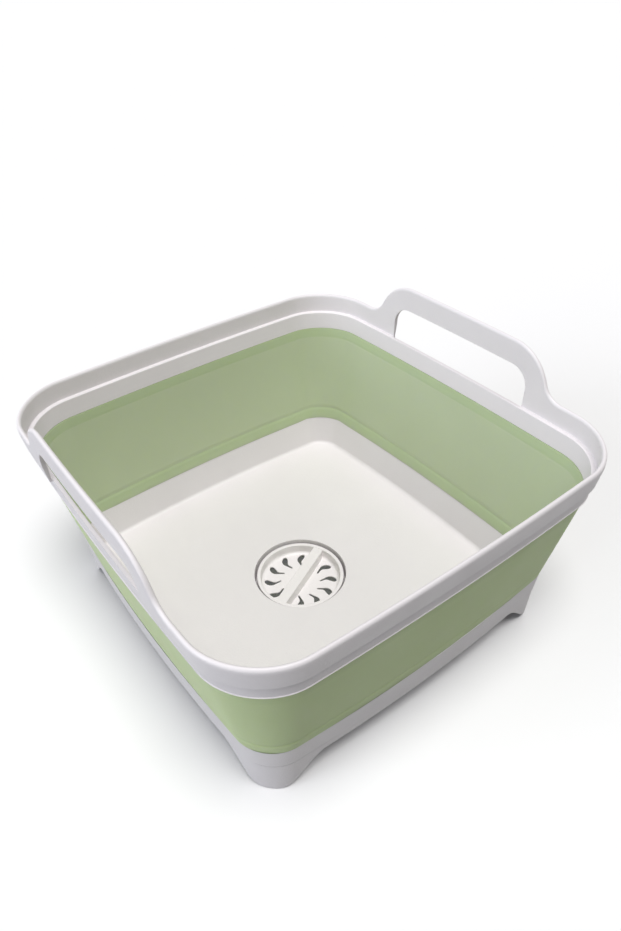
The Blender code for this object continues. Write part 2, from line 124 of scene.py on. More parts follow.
# Tray
COLLAR_TOP = 0.0458
COLLAR_INSET = 0.0208
TRAY_TOP = 0.0387
TRAY_TOP_INSET = 0.0240
BAND_FOOT = 0.0289
BAND_FOOT_INSET = 0.0224
BAND_STEP = 0.0004
GROOVE_HEIGHT = 0.0009
GROOVE_DEPTH = 0.0012
GROOVE_LIP = 0.0002
GROOVE_TOP = BAND_FOOT - GROOVE_LIP
GROOVE_FOOT = BAND_FOOT - GROOVE_HEIGHT + GROOVE_LIP
SKIRT_FOOT = 0.0227
SKIRT_WALL = 0.0017
SKIRT_ROUND = 0.0005
SKIRT_INNER = 0.1165
FOOT_INSET = 0.0244
FOOT_WALL = 0.0028
FOOT_FLAT = 0.010
FOOT_FLARE = 0.032
FLOOR_TOP = 0.0137
FLOOR_UNDER = 0.0117
FLOOR_INSET = 0.0285
FLOOR_FILLET = 0.0032
FLOOR_FILLET_STEPS = 8
FLOOR_RIM = 0.0008
UNDER_INSET = 0.0283
ON_TABLE = 0.0001

# The tray's outside, from its collar round the skirt's foot to its underside
TRAY_OUTSIDE = (
    (COLLAR_INSET, COLLAR_TOP),
    (BAND_FOOT_INSET, BAND_FOOT),
    (BAND_FOOT_INSET + 0.0001, GROOVE_TOP),
    (BAND_FOOT_INSET + 0.0002, GROOVE_FOOT),
    (BAND_FOOT_INSET + BAND_STEP, GROOVE_FOOT - GROOVE_LIP),
    (FOOT_INSET, 0),
    (FOOT_INSET + FOOT_WALL, 0),
    (UNDER_INSET, FLOOR_UNDER),
)

# Drain recess, strainer plug and stopper
DRAIN = (-0.0034, -0.0010)
TURN_STEPS = 128
SEED = 0.001
RECESS_RADIUS = 0.0350
RECESS_ROUND = 0.0004
WELL_OUTSIDE = 0.0366
WELL_FLOOR = 0.0013
WELL_UNDER = 0.0004
OUTLET_RADIUS = 0.0130
RING_OUTER = 0.0333
RING_INNER = 0.0304
RING_TOP = 0.0115
PLATE_EDGE = 0.0044
PLATE_MIDDLE = 0.0033
PLATE_UNDER = 0.0024
DISH_RADIUS = 0.0276
BAR_HALF_WIDTH = 0.0040
BAR_HALF_LENGTH = RING_INNER + 0.0010
BAR_DROP = 0.0005
BAR_SINK = 0.0005
BAR_ROUND = 0.0005
BAR_CUTS = 23
BAR_FOOT_FLARE = 0.0009
BAR_ANGLE = math.radians(25.3)
SLOTS_PER_SIDE = 5
SLOT_STEP = math.radians(31.4)
SLOT_HEAD = 0.0275
SLOT_TAIL = 0.0149
SLOT_TURN = math.radians(-5.5)
SLOT_BULGE = math.radians(8)
SLOT_CUT_FOOT = 0.0015
SLOT_CUT_HEIGHT = 0.006
PIN_RADIUS = 0.0030
PIN_FOOT = 0.0006
# The flange reaches out under the strainer's slots, so the dark rubber seen through them is
# painted shade as well as the stopper's own colour.
STOPPER_RADIUS = 0.0127
STOPPER_FLANGE = 0.0285
STOPPER_TOP = 0.0021
FLANGE_UNDER = 0.0016
STOPPER_TIP = 0.0004
STOPPER_BORE = PIN_RADIUS + 0.0003

# A strainer slot from its head to its tail: shares of its length, and half widths there
SLOT_STATIONS = (0, 0.02, 0.06, 0.13, 0.22, 0.33, 0.43, 0.52, 0.61, 0.70, 0.80, 0.90, 0.97, 1.0)
SLOT_HALF_MILLIMETRES = (
    0.3, 1.0, 1.6, 2.05, 2.28, 2.25, 2.0, 1.6, 1.15, 0.88, 0.80, 0.75, 0.6, 0.3)

# Turned profiles, as (radius, height)
WELL_PROFILE = (
    (0, WELL_UNDER),
    (WELL_OUTSIDE, WELL_UNDER),
    (WELL_OUTSIDE, FLOOR_TOP - 0.0010),
    (0, FLOOR_TOP - 0.0010),
)
RECESS_PROFILE = (
    (0, -0.001),
    (OUTLET_RADIUS, -0.001),
    (OUTLET_RADIUS, WELL_FLOOR),
    (RECESS_RADIUS, WELL_FLOOR),
    (RECESS_RADIUS, FLOOR_TOP + 0.003),
    (0, FLOOR_TOP + 0.003),
)
STRAINER_PROFILE = (
    (0, PLATE_MIDDLE),
    (DISH_RADIUS - 0.0006, PLATE_MIDDLE),
    (DISH_RADIUS + 0.0002, PLATE_MIDDLE + 0.0002),
    (0.0292, PLATE_EDGE - 0.0003),
    (0.0297, PLATE_EDGE + 0.0001),
    (0.0301, PLATE_EDGE + 0.0008),
    (0.0303, PLATE_EDGE + 0.0016),
    (RING_INNER, RING_TOP - 0.0006),
    (RING_INNER + 0.0002, RING_TOP - 0.0002),
    (RING_INNER + 0.0006, RING_TOP),
    (RING_OUTER - 0.0006, RING_TOP),
    (RING_OUTER - 0.0002, RING_TOP - 0.0002),
    (RING_OUTER, RING_TOP - 0.0006),
    (RING_OUTER, PLATE_UNDER + 0.0005),
    (RING_OUTER - 0.0005, PLATE_UNDER),
    (PIN_RADIUS, PLATE_UNDER),
    (PIN_RADIUS, PIN_FOOT),
    (0, PIN_FOOT),
)
STOPPER_PROFILE = (
    (STOPPER_BORE, STOPPER_TOP),
    (STOPPER_FLANGE - 0.0003, STOPPER_TOP),
    (STOPPER_FLANGE, STOPPER_TOP - 0.0002),
    (STOPPER_FLANGE, FLANGE_UNDER),
    (STOPPER_RADIUS, FLANGE_UNDER),
    (STOPPER_RADIUS, STOPPER_TIP + 0.0004),
    (STOPPER_RADIUS - 0.0004, STOPPER_TIP),
    (STOPPER_BORE, STOPPER_TIP),
    (STOPPER_BORE, STOPPER_TOP),
)

# The photograph's camera: its place, its turns in radians, and its lens in the picture's pixels
CAMERA_PLACE = (-0.22297, -0.31262, 0.42189)
CAMERA_YAW = 0.952309
CAMERA_PITCH = 0.673714
CAMERA_ROLL = 0.036837
PICTURE_WIDTH = 621
PICTURE_HEIGHT = 931
LENS_PIXELS = 721.97
MIDDLE_COLUMN = 298.64
SENSOR = 24

# The studio floor
PAPER_SIZE = 30
PAPER_DROP = 0.0002


def clear_choice():
    bpy.ops.object.select_all(action="DESELECT")


def activate(piece):
    """Select one piece alone and make it the active one."""
    clear_choice()
    piece.select_set(True)
    bpy.context.view_layer.objects.active = piece


def edit(piece):
    """Open one piece in edit mode, alone."""
    activate(piece)
    bpy.ops.object.mode_set(mode="EDIT")


def leave():
    bpy.ops.object.mode_set(mode="OBJECT")


def choose_all():
    bpy.ops.mesh.select_all(action="SELECT")


def settle():
    """Move the active piece's place, turn and scale into its mesh."""
    bpy.ops.object.transform_apply(location=True, rotation=True, scale=True)


def choose(piece, kind, wanted):
    """Select the vertices, edges or faces of the open piece that pass a test."""
    leave()
    mesh = piece.data
    for group in (mesh.vertices, mesh.edges, mesh.polygons):
        group.foreach_set("select", [False] * len(group))
    group = {"VERT": mesh.vertices, "EDGE": mesh.edges, "FACE": mesh.polygons}[kind]
    bpy.context.tool_settings.mesh_select_mode = (kind == "VERT", kind == "EDGE", kind == "FACE")
    for item in group:
        item.select = wanted(item)
    bpy.ops.object.mode_set(mode="EDIT")


def reach(piece, edge):
    """How far an edge goes along X, Y and Z."""
    first, second = (piece.data.vertices[end].co for end in edge.vertices)
    return Vector([abs(along) for along in second - first])


def sharp_edges(piece):
    """The vertex pairs of the edges where two faces meet at more than 60 degrees."""
    facing = {}
    for face in piece.data.polygons:
        for key in face.edge_keys:
            facing.setdefault(key, []).append(face.normal.copy())
    return {key for key, normals in facing.items()
            if len(normals) == 2 and normals[0].dot(normals[1]) < SHARP_COSINE}


def on_outside(vertex):
    """True for a vertex whose normal points away from the basin's middle."""
    return vertex.normal.x * vertex.co.x + vertex.normal.y * vertex.co.y > 0


def rename(piece, name):
    piece.name = name
    piece.data.name = name
    return piece


def finish_with(piece, kind, **settings):
    """Add one modifier, set it and apply it."""
    modifier = piece.modifiers.new(kind.title(), kind)
    for key, value in settings.items():
        setattr(modifier, key, value)
    activate(piece)
    bpy.ops.object.modifier_apply(modifier=modifier.name)


def combine(piece, other, operation):
    """Cut a block out of a piece, or unite it with the piece, and drop the block."""
    finish_with(piece, "BOOLEAN", operation=operation, object=other, solver="EXACT")
    bpy.data.objects.remove(other)


def tidy_shell(piece):
    """Merge doubles and turn all faces outwards."""
    edit(piece)
    choose_all()
    bpy.ops.mesh.remove_doubles(threshold=MERGE_GAP)
    bpy.ops.mesh.normals_make_consistent(inside=False)
    leave()


def smooth(piece, degrees):
    activate(piece)
    bpy.ops.object.shade_smooth_by_angle(angle=math.radians(degrees))


def bowed(x, y, inset, bow):
    """A point of the outline with its sides bowed out."""
    share_x = x / (HALF_WIDTH - inset)
    share_y = y / (HALF_LENGTH - inset)
    out_x = bow * abs(share_x) ** BOW_POWER * max(1 - share_y ** 2, 0)
    out_y = bow * abs(share_y) ** BOW_POWER * max(1 - share_x ** 2, 0)
    return x + math.copysign(out_x, x), y + math.copysign(out_y, y)


def rounded(path):
    """Turn corners given as (inset, height, rounding) into short curves."""
    curve = [path[0][:2]]
    for before, corner, after in zip(path, path[1:], path[2:]):
        if len(corner) < 3:
            curve.append(corner)
            continue
        point = Vector(corner[:2])
        start = point + (Vector(before[:2]) - point).normalized() * corner[2]
        end = point + (Vector(after[:2]) - point).normalized() * corner[2]
        for step in range(CURVE_STEPS + 1):
            share = step / CURVE_STEPS
            place = start * (1 - share) ** 2 + point * 2 * share * (1 - share) + end * share ** 2
            curve.append((place.x, place.y))
    return curve + [path[-1][:2]]


def outline_plate(name, inset, height, bow):
    """A flat plate with the basin's bowed outline, drawn in by inset."""
    clear_choice()
    bpy.ops.mesh.primitive_plane_add(size=1, location=(0, 0, height))
    plate = rename(bpy.context.object, name)
    plate.scale = (2 * (HALF_WIDTH - inset), 2 * (HALF_LENGTH - inset), 1)
    settle()
    edit(plate)
    choose_all()
    bpy.ops.mesh.bevel(offset=CORNER_RADIUS - inset, affect="VERTICES", segments=CORNER_STEPS)
    choose_all()
    bpy.ops.mesh.delete(type="ONLY_FACE")
    choose(plate, "EDGE", lambda edge: reach(plate, edge).length > LONG_EDGE)
    bpy.ops.mesh.subdivide(number_cuts=SIDE_CUTS)
    choose_all()
    bpy.ops.mesh.edge_face_add()
    leave()
    if plate.data.polygons[0].normal.z < 0:
        edit(plate)
        bpy.ops.mesh.flip_normals()
        leave()
    for vertex in plate.data.vertices:
        vertex.co.x, vertex.co.y = bowed(vertex.co.x, vertex.co.y, inset, bow)
    return plate


def carve(plate, path):
    """Carry the plate's face along a path of (inset, height), leaving a wall behind it."""
    edit(plate)
    choose(plate, "FACE", lambda face: len(face.vertices) > CAP_CORNERS)
    (inset, height), *rest = path
    for next_inset, next_height in rest:
        inwards, upwards = next_inset - inset, next_height - height
        if inwards > 1e-7:
            bpy.ops.mesh.inset(thickness=inwards, depth=upwards, use_even_offset=True)
        else:
            bpy.ops.mesh.extrude_region_move(TRANSFORM_OT_translate={"value": (0, 0, upwards)})
        inset, height = next_inset, next_height
    leave()
    return plate


def join(first, *others):
    clear_choice()
    for piece in (first, *others):
        piece.select_set(True)
    bpy.context.view_layer.objects.active = first
    bpy.ops.object.join()
    return first


def drop_caps(piece):
    """Take away the large flat faces that carried the walls along."""
    edit(piece)
    choose(piece, "FACE", lambda face: len(face.vertices) > CAP_CORNERS)
    bpy.ops.mesh.delete(type="FACE")
    choose_all()
    bpy.ops.mesh.remove_doubles(threshold=MERGE_GAP)
    leave()


def material(name, base_colour, roughness):
    """A plain named finish, with its nodes, links and shader."""
    finish = bpy.data.materials.new(name)
    finish.use_nodes = True
    shader = finish.node_tree.nodes["Principled BSDF"]
    shader.inputs["Base Color"].default_value = (*base_colour, 1)
    shader.inputs["Roughness"].default_value = roughness
    return finish, finish.node_tree.nodes, finish.node_tree.links, shader


def noise(nodes, links, scale, detail, roughness=0.5):
    """A noise that stays with the piece."""
    place = nodes.new("ShaderNodeTexCoord")
    texture = nodes.new("ShaderNodeTexNoise")
    texture.inputs["Scale"].default_value = scale
    texture.inputs["Detail"].default_value = detail
    texture.inputs["Roughness"].default_value = roughness
    links.new(place.outputs["Object"], texture.inputs["Vector"])
    return texture


def spread(nodes, links, source, low, high):
    """Spread a noise's middle range over low to high."""
    ramp = nodes.new("ShaderNodeMapRange")
    ramp.inputs["From Min"].default_value = 0.3
    ramp.inputs["From Max"].default_value = 0.7
    ramp.inputs["To Min"].default_value = low
    ramp.inputs["To Max"].default_value = high
    links.new(source, ramp.inputs["Value"])
    return ramp.outputs["Result"]


def grain(nodes, links, shader, scale, strength, distance):
    """A fine raised grain."""
    texture = noise(nodes, links, scale, detail=3)
    bump = nodes.new("ShaderNodeBump")
    bump.inputs["Strength"].default_value = strength
    bump.inputs["Distance"].default_value = distance
    links.new(texture.outputs["Fac"], bump.inputs["Height"])
    links.new(bump.outputs["Normal"], shader.inputs["Normal"])


def tinted(nodes, links, shader, first, second, scale, detail):
    """Let the colour wander between two near tones."""
    texture = noise(nodes, links, scale, detail)
    blend = nodes.new("ShaderNodeMix")
    blend.data_type = "RGBA"
    blend.inputs["A"].default_value = (*first, 1)
    blend.inputs["B"].default_value = (*second, 1)
    links.new(spread(nodes, links, texture.outputs["Fac"], 0, 1), blend.inputs["Factor"])
    links.new(blend.outputs["Result"], shader.inputs["Base Color"])


def worn(nodes, links, shader, scale, low, high):
    """Let the gloss wander, as on plastic that has been handled."""
    texture = noise(nodes, links, scale, detail=5, roughness=0.6)
    gloss = spread(nodes, links, texture.outputs["Fac"], low, high)
    links.new(gloss, shader.inputs["Roughness"])


def moulded_white(name, first, second, rough):
    """Rigid white plastic with a fine matt grain."""
    finish, nodes, links, shader = material(name, first, rough)
    tinted(nodes, links, shader, first, second, scale=22, detail=4)
    worn(nodes, links, shader, scale=60, low=rough - 0.05, high=rough + 0.07)
    grain(nodes, links, shader, scale=750, strength=0.5, distance=0.00022)
    return finish


def soft_rubber(name, first, second, rough):
    """Soft matt rubber that lets a little light into its skin."""
    finish, nodes, links, shader = material(name, first, rough)
    shader.inputs["Specular IOR Level"].default_value = 0.2
    shader.inputs["Subsurface Weight"].default_value = 0.5
    shader.inputs["Subsurface Radius"].default_value = (0.9, 1.0, 0.45)
    shader.inputs["Subsurface Scale"].default_value = 0.0018
    tinted(nodes, links, shader, first, second, scale=16, detail=5)
    worn(nodes, links, shader, scale=45, low=rough - 0.06, high=rough + 0.06)
    grain(nodes, links, shader, scale=900, strength=0.22, distance=0.00015)
    return finish


def give(piece, finish):
    piece.data.materials.clear()
    piece.data.materials.append(finish)


def arch_rise(along):
    """Height of the handle's top over the lip, at a distance from the handle's middle."""
    along = abs(along)
    shoulder_height = HANDLE_RISE - SHOULDER_RADIUS
    slope = math.asin((ROOT_RADIUS - shoulder_height) / (SHOULDER_RADIUS + ROOT_RADIUS))
    meet = HANDLE_FLAT + SHOULDER_RADIUS * math.cos(slope)
    root_centre = HANDLE_FLAT + (SHOULDER_RADIUS + ROOT_RADIUS) * math.cos(slope)
    if along <= HANDLE_FLAT:
        return HANDLE_RISE
    if along <= meet:
        past = along - HANDLE_FLAT
        return shoulder_height + math.sqrt(max(SHOULDER_RADIUS ** 2 - past ** 2, 0))
    if along <= root_centre:
        short = root_centre - along
        return ROOT_RADIUS - math.sqrt(max(ROOT_RADIUS ** 2 - short ** 2, 0))
    return 0


def lip_path():
    """The lip's rounded top, from its outer face to its inner face."""
    middle = LIP_WALL / 2
    points = []
    for step in range(LIP_STEPS + 1):
        angle = math.pi * step / LIP_STEPS
        inset = middle - middle * math.cos(angle)
        points.append((inset, LIP_CROWN + LIP_ROUND * math.sin(angle)))
    return points


def raise_handles(rim):
    """Lift the lip's top into an arch on the left and the right side."""
    straight = HALF_LENGTH - CORNER_RADIUS + 0.0001
    for vertex in rim.data.vertices:
        place = vertex.co
        on_side = abs(place.y) < straight and abs(place.x) > HALF_WIDTH - 0.01
        if on_side and place.z >= LIP_CROWN - MERGE_GAP:
            rise = arch_rise(place.y)
            place.x += math.copysign(HANDLE_LEAN * rise / HANDLE_RISE, place.x)
            place.z += rise


def model_rim(finish):
    """Carve the rim inside and outside, raise its handles and cut their finger slots."""
    inside = lip_path() + rounded(RIM_INSIDE)
    outer = carve(outline_plate("rim", 0, LIP_CROWN, RIM_BOW), rounded(RIM_OUTSIDE))
    inner = carve(outline_plate("rim_inside", 0, LIP_CROWN, RIM_BOW), inside)
    rim = join(outer, inner)
    drop_caps(rim)
    raise_handles(rim)
    tidy_shell(rim)

    def on_bead(vertex):
        return abs(vertex.co.z - RIM_FOOT - BEAD_HEIGHT) < NEAR and on_outside(vertex)

    edit(rim)
    choose(rim, "VERT", on_bead)
    bpy.ops.transform.shrink_fatten(value=BEAD_PROUD)
    leave()
    for side in (-1, 1):
        cut_slot(rim, side)
    soften_slots(rim)
    smooth(rim, degrees=38)
    finish_with(rim, "WEIGHTED_NORMAL", keep_sharp=True)
    give(rim, finish)
    return rim


def soften_slots(rim):
    """Round the edges of both finger slots, from a little over the ledge up."""
    def near_slot(place):
        level = SLOT_RIM - 0.0001 < place.z < SLOT_TOP + SLOT_REACH
        in_wall = abs(place.x) > HALF_WIDTH - SLOT_WALL
        return level and in_wall and abs(place.y) < SLOT_HALF_WIDTH + SLOT_REACH

    edit(rim)
    choose(rim, "VERT", lambda vertex: near_slot(vertex.co))
    bpy.ops.mesh.remove_doubles(threshold=SLOT_MERGE_GAP)
    leave()
    sharp = sharp_edges(rim)
    edit(rim)
    points = rim.data.vertices

    def on_slot(edge):
        key = tuple(sorted(edge.vertices))
        return key in sharp and all(near_slot(points[end].co) for end in key)

    choose(rim, "EDGE", on_slot)
    bpy.ops.mesh.bevel(offset=SLOT_ROUND, segments=3, clamp_overlap=False)
    leave()


def cut_slot(rim, side):
    """Cut one finger slot with a round-cornered block that follows the side's bow."""
    bottom = LEDGE_UNDER - 0.0003
    middle = HALF_WIDTH - SLOT_BLOCK_INNER + SLOT_BLOCK_DEPTH / 2
    clear_choice()
    bpy.ops.mesh.primitive_cube_add(size=1)
    block = rename(bpy.context.object, "slot_block")
    block.scale = (SLOT_BLOCK_DEPTH, 2 * SLOT_HALF_WIDTH, SLOT_TOP - bottom)
    block.location = (side * middle, 0, (SLOT_TOP + bottom) / 2)
    settle()
    points = block.data.vertices

    def upper_end(edge):
        low = min(points[end].co.z for end in edge.vertices)
        return low > SLOT_TOP - 0.001 and reach(block, edge).y < 0.001

    edit(block)
    choose(block, "EDGE", upper_end)
    bpy.ops.mesh.bevel(offset=SLOT_CORNER, segments=SLOT_CORNER_STEPS)
    choose(block, "EDGE", lambda edge: reach(block, edge).y > LONG_EDGE)
    bpy.ops.mesh.subdivide(number_cuts=SLOT_BLOCK_CUTS)
    leave()
    for vertex in block.data.vertices:
        vertex.co.x += side * RIM_BOW * (1 - (vertex.co.y / HALF_LENGTH) ** 2)
    combine(rim, block, "DIFFERENCE")


def wall_path(top, foot, steps):
    """A straight wall's path, with three close rings at each fold line."""
    (top_inset, top_height), (foot_inset, foot_height) = top, foot
    fall = top_height - foot_height
    folds = (UPPER_FOLD / fall, 1 - LOWER_FOLD / fall)
    shares = [step / steps for step in range(steps + 1)]
    shares = [share for share in shares
              if min(abs(share - fold) for fold in folds) > FOLD_CLEARANCE / fall]
    for fold in folds:
        shares += [fold - FOLD_HALF_WIDTH / fall, fold, fold + FOLD_HALF_WIDTH / fall]
    return [(top_inset + (foot_inset - top_inset) * share, top_height - fall * share)
            for share in sorted(shares)]


def press_fold(wall, outer_fold, inner_fold, depth):
    """Press one fold line into both faces of the soft wall."""
    def on_fold(vertex):
        fold = outer_fold if on_outside(vertex) else inner_fold
        return abs(vertex.co.z - fold) < NEAR

    edit(wall)
    choose(wall, "VERT", on_fold)
    bpy.ops.transform.shrink_fatten(value=-depth)
    leave()


def model_wall(finish, edge_finish, outside_painted_light_finish):
    """Carve the soft wall, bow its sides from the rim's bow to the tray's, and press its folds."""
    top_outer = (WALL_TOP_INSET, WALL_TOP)
    top_inner = (WALL_TOP_INSET + WALL_TOP_THICKNESS, WALL_TOP)
    outside = wall_path(top_outer, WALL_OUTER_FOOT, WALL_OUTER_STEPS) + [WALL_INNER_FOOT]
    inside = [top_outer] + wall_path(top_inner, WALL_INNER_FOOT, WALL_INNER_STEPS)
    outer = carve(outline_plate("soft_wall", WALL_TOP_INSET, WALL_TOP, RIM_BOW), outside)
    inner = carve(outline_plate("wall_inside", WALL_TOP_INSET, WALL_TOP, RIM_BOW), inside)
    wall = join(outer, inner)
    drop_caps(wall)
    for vertex in wall.data.vertices:
        place = vertex.co
        share = min((WALL_TOP - place.z) / (WALL_TOP - TRAY_TOP), 1)
        inset = WALL_TOP_INSET + (WALL_OUTER_FOOT[0] - WALL_TOP_INSET) * share
        extra = (TRAY_BOW - RIM_BOW) * share
        place.x, place.y = bowed(place.x, place.y, inset, extra)
    tidy_shell(wall)
    upper = WALL_TOP - UPPER_FOLD
    lower = WALL_INNER_FOOT[1] + LOWER_FOLD
    press_fold(wall, upper, upper, UPPER_FOLD_DEPTH)
    press_fold(wall, WALL_OUTER_FOOT[1] + LOWER_FOLD, lower, LOWER_FOLD_DEPTH)
    smooth(wall, degrees=60)
    give(wall, finish)
    wall.data.materials.append(edge_finish)
    wall.data.materials.append(outside_painted_light_finish)
    # Outward faces take the lighter, livelier green, which is painted light; the inside bands
    # beyond the fold lines take the edge green.
    for face in wall.data.polygons:
        outward = face.normal.x * face.center.x + face.normal.y * face.center.y > 0
        if outward:
            face.material_index = 2
        elif face.center.z > upper or face.center.z < lower:
            face.material_index = 1
    return wall


def foot_height(x, y):
    """Height of the skirt's lower edge at a place on the outline."""
    radius = CORNER_RADIUS - FOOT_INSET
    over_x = abs(x) - (HALF_WIDTH - CORNER_RADIUS)
    over_y = abs(y) - (HALF_LENGTH - CORNER_RADIUS)
    if over_x > 0 and over_y > 0:
        along = abs(math.atan2(over_y, over_x) - math.pi / 4) * radius
    else:
        along = radius * math.pi / 4 - min(over_x, over_y)
    share = min(max((along - FOOT_FLAT / 2) / FOOT_FLARE, 0), 1)
    return SKIRT_FOOT * share * share * (3 - 2 * share)


def raise_skirt(tray):
    """Slide the skirt's lower edge up its own slope between the feet."""
    points = tray.data.vertices
    neighbours = {}
    for edge in tray.data.edges:
        first, second = edge.vertices
        neighbours.setdefault(first, []).append(second)
        neighbours.setdefault(second, []).append(first)
    old = {vertex.index: vertex.co.copy() for vertex in points if vertex.co.z < ON_TABLE}
    outer = {}
    for index in old:
        above = max(neighbours[index], key=lambda other: points[other].co.z)
        if points[above].co.z > FLOOR_TOP:
            outer[index] = above
    for index, above in outer.items():
        height = foot_height(old[index].x, old[index].y)
        across = [other for other in neighbours[index] if other in old and other not in outer]
        top = points[above].co
        points[index].co = old[index].lerp(top, height / top.z)
        for other in across:
            wall = FOOT_WALL + (SKIRT_WALL - FOOT_WALL) * height / SKIRT_FOOT
            points[other].co = points[index].co + (old[other] - old[index]) * wall / FOOT_WALL


def press_groove(tray):
    """Press the slanted groove between the tray's band and its skirt."""
    def in_groove(vertex):
        level = GROOVE_FOOT - NEAR < vertex.co.z < GROOVE_TOP + NEAR
        return level and on_outside(vertex)

    edit(tray)
    choose(tray, "VERT", in_groove)
    bpy.ops.transform.shrink_fatten(value=-GROOVE_DEPTH)
    bpy.ops.transform.translate(value=(0, 0, -GROOVE_DEPTH))
    leave()


def sink_drain(tray):
    """Add the drain's well, turn out its recess and outlet, and round the recess's edge."""
    combine(tray, turn_profile("well", WELL_PROFILE), "UNION")
    combine(tray, turn_profile("recess", RECESS_PROFILE), "DIFFERENCE")
    points = tray.data.vertices

    def on_recess(place):
        from_drain = math.hypot(place.x - DRAIN[0], place.y - DRAIN[1])
        return abs(place.z - FLOOR_TOP) < 0.00002 and from_drain < RECESS_RADIUS + 0.0002

    edit(tray)
    choose(tray, "EDGE", lambda edge: all(on_recess(points[end].co) for end in edge.vertices))
    bpy.ops.mesh.bevel(offset=RECESS_ROUND, segments=3, clamp_overlap=False)
    leave()


def model_tray(finish):
    """Carve the tray inside and outside, raise its skirt between the feet and sink its drain."""
    inside = [(COLLAR_INSET, COLLAR_TOP), (TRAY_TOP_INSET, TRAY_TOP)]
    for step in range(FLOOR_FILLET_STEPS + 1):
        angle = math.pi / 2 * step / FLOOR_FILLET_STEPS
        inset = FLOOR_INSET + FLOOR_FILLET * (1 - math.cos(angle))
        inside.append((inset, FLOOR_TOP + FLOOR_FILLET * (1 - math.sin(angle))))
    inside.append((FLOOR_INSET + FLOOR_FILLET + FLOOR_RIM, FLOOR_TOP))
    outer = carve(outline_plate("tray", COLLAR_INSET, COLLAR_TOP, TRAY_BOW), TRAY_OUTSIDE)
    inner = carve(outline_plate("tray_inside", COLLAR_INSET, COLLAR_TOP, TRAY_BOW), inside)
    tray = join(outer, inner)
    raise_skirt(tray)
    tidy_shell(tray)
    press_groove(tray)
    soften_skirt(tray)
    sink_drain(tray)
    smooth(tray, degrees=38)
    finish_with(tray, "WEIGHTED_NORMAL", keep_sharp=True)
    give(tray, finish)
    return tray


def soften_skirt(tray):
    """Round the skirt's lower edge, outside and inside."""
    sharp = sharp_edges(tray)
    points = tray.data.vertices

    def on_skirt(place):
        return place.z < SKIRT_FOOT + 0.0005 and max(abs(place.x), abs(place.y)) > SKIRT_INNER

    def skirt_edge(edge):
        key = tuple(sorted(edge.vertices))
        return key in sharp and all(on_skirt(points[end].co) for end in key)

    edit(tray)
    choose(tray, "EDGE", skirt_edge)
    bpy.ops.mesh.bevel(offset=SKIRT_ROUND, segments=2, clamp_overlap=False)
    leave()


def draw_line(name, start, steps):
    """Draw a line vertex by vertex, and leave it open in edit mode with all of it selected."""
    clear_choice()
    bpy.ops.mesh.primitive_plane_add(size=SEED, location=start)
    piece = rename(bpy.context.object, name)
    settle()
    edit(piece)
    bpy.context.tool_settings.mesh_select_mode = (True, False, False)
    choose_all()
    bpy.ops.mesh.merge(type="CENTER")
    for step in steps:
        bpy.ops.mesh.extrude_vertices_move(TRANSFORM_OT_translate={"value": step})
    choose_all()
    return piece


def turn_profile(name, profile):
    """Draw a profile of (radius, height) and spin it round the drain's axis."""
    radius, height = profile[0]
    steps = [(after[0] - before[0], 0, after[1] - before[1])
             for before, after in zip(profile, profile[1:])]
    piece = draw_line(name, (DRAIN[0] + radius, DRAIN[1], height), steps)
    bpy.ops.mesh.spin(steps=TURN_STEPS, angle=2 * math.pi, center=(*DRAIN, 0), axis=(0, 0, 1))
    leave()
    tidy_shell(piece)
    return piece


def slot_outline():
    """A strainer slot about its own middle line: round outer head, fat body and thin tail."""
    middle = []
    for share in SLOT_STATIONS:
        radius = SLOT_HEAD + (SLOT_TAIL - SLOT_HEAD) * share
        angle = SLOT_TURN + SLOT_BULGE * math.sin(math.pi * share)
        middle.append(Vector((radius * math.cos(angle), radius * math.sin(angle))))
    left, right = [], []
    last = len(middle) - 1
    for index, (place, half) in enumerate(zip(middle, SLOT_HALF_MILLIMETRES)):
        along = (middle[min(index + 1, last)] - middle[max(index - 1, 0)]).normalized()
        across = Vector((-along.y, along.x)) * half / 1000
        left.append(place + across)
        right.append(place - across)
    return [(DRAIN[0] + place.x, DRAIN[1] + place.y) for place in left + right[::-1]]


def strainer_cutter():
    """One curved slot block, copied round the plate on both sides of the bar."""
    outline = slot_outline()
    steps = [(after[0] - before[0], after[1] - before[1], 0)
             for before, after in zip(outline, outline[1:])]
    cutter = draw_line("slot_blocks", (*outline[0], SLOT_CUT_FOOT), steps)
    bpy.ops.mesh.edge_face_add()
    bpy.ops.mesh.extrude_region_move(TRANSFORM_OT_translate={"value": (0, 0, SLOT_CUT_HEIGHT)})
    leave()
    centre = Matrix.Translation((*DRAIN, 0))
    copies = []
    for index in range(2 * SLOTS_PER_SIDE):
        copy = cutter.copy()
        copy.data = cutter.data.copy()
        bpy.context.scene.collection.objects.link(copy)
        side, place = divmod(index, SLOTS_PER_SIDE)
        from_middle = (place - (SLOTS_PER_SIDE - 1) / 2) * SLOT_STEP
        turn = Matrix.Rotation(BAR_ANGLE + math.pi / 2 + math.pi * side + from_middle, 4, "Z")
        copy.data.transform(centre @ turn @ centre.inverted())
        copies.append(copy)
    bpy.data.objects.remove(cutter)
    blocks = join(*copies)
    tidy_shell(blocks)
    return blocks


